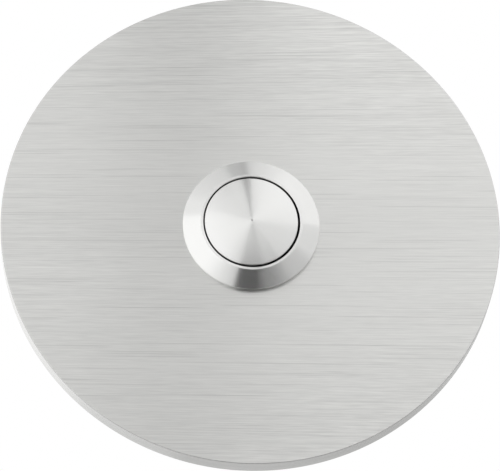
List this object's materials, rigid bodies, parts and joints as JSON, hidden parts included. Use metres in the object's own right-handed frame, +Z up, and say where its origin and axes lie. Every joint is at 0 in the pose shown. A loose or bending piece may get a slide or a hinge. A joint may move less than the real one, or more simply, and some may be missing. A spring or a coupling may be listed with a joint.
{
  "type": "doorbell push button",
  "caption": "Round brushed steel wall plate with a domed bell push in a raised conical bezel, and a threaded barrel with screw terminals behind it.",
  "frame": {"origin": "centre of the plate on its back face, where it lies on the wall, on the axis of the button", "axes": "+Y into the wall along the axis of the button, so the button faces -Y; +Z up; +X to the right for someone facing the button"},
  "size_m": [0.09, 0.0376, 0.09],
  "materials": {
    "plate_steel": "straight brushed lines",
    "turned_steel": "fine turned rings",
    "bright_steel": "bright plated",
    "spring_steel": "drawn, satin",
    "black_rubber": "matt",
    "black_plastic": "moulded, matt",
    "white_plastic": "moulded, satin",
    "bronze_strip": "rolled strip",
    "brass": "turned",
    "contact_silver": "polished"
  },
  "bodies": {
    "fixed": {"face_plate": "plate_steel", "fixing_studs": "bright_steel", "button_housing": "turned_steel", "flange_gasket": "black_rubber", "lock_washer": "bright_steel", "lock_nut": "turned_steel", "return_spring": "spring_steel", "switch_base": "black_plastic", "base_ring": "spring_steel", "contact_post_left": "brass", "contact_post_right": "brass", "fixed_contacts": "contact_silver", "clamp_washers": "bright_steel", "terminal_screws": "bright_steel"},
    "button": {"button_cap": "turned_steel", "cap_seal": "black_rubber", "plunger": "white_plastic", "bridge_clip": "spring_steel", "contact_spring": "spring_steel"},
    "bridge": {"contact_bridge": "bronze_strip", "bridge_contacts": "contact_silver"}
  },
  "joints": [
    {"name": "button_press", "type": "slide", "parent": "fixed", "child": "button", "axis": [0, 1, 0], "range_m": [0, 0.0016], "stiffness_N_per_m": 1370, "springref_m": -0.0016, "deforming": ["return_spring"]},
    {"name": "bridge_lift", "type": "slide", "parent": "button", "child": "bridge", "axis": [0, -1, 0], "range_m": [0, 0.0004], "stiffness_N_per_m": 250, "springref_m": -0.0024, "deforming": ["contact_spring"]}
  ]
}
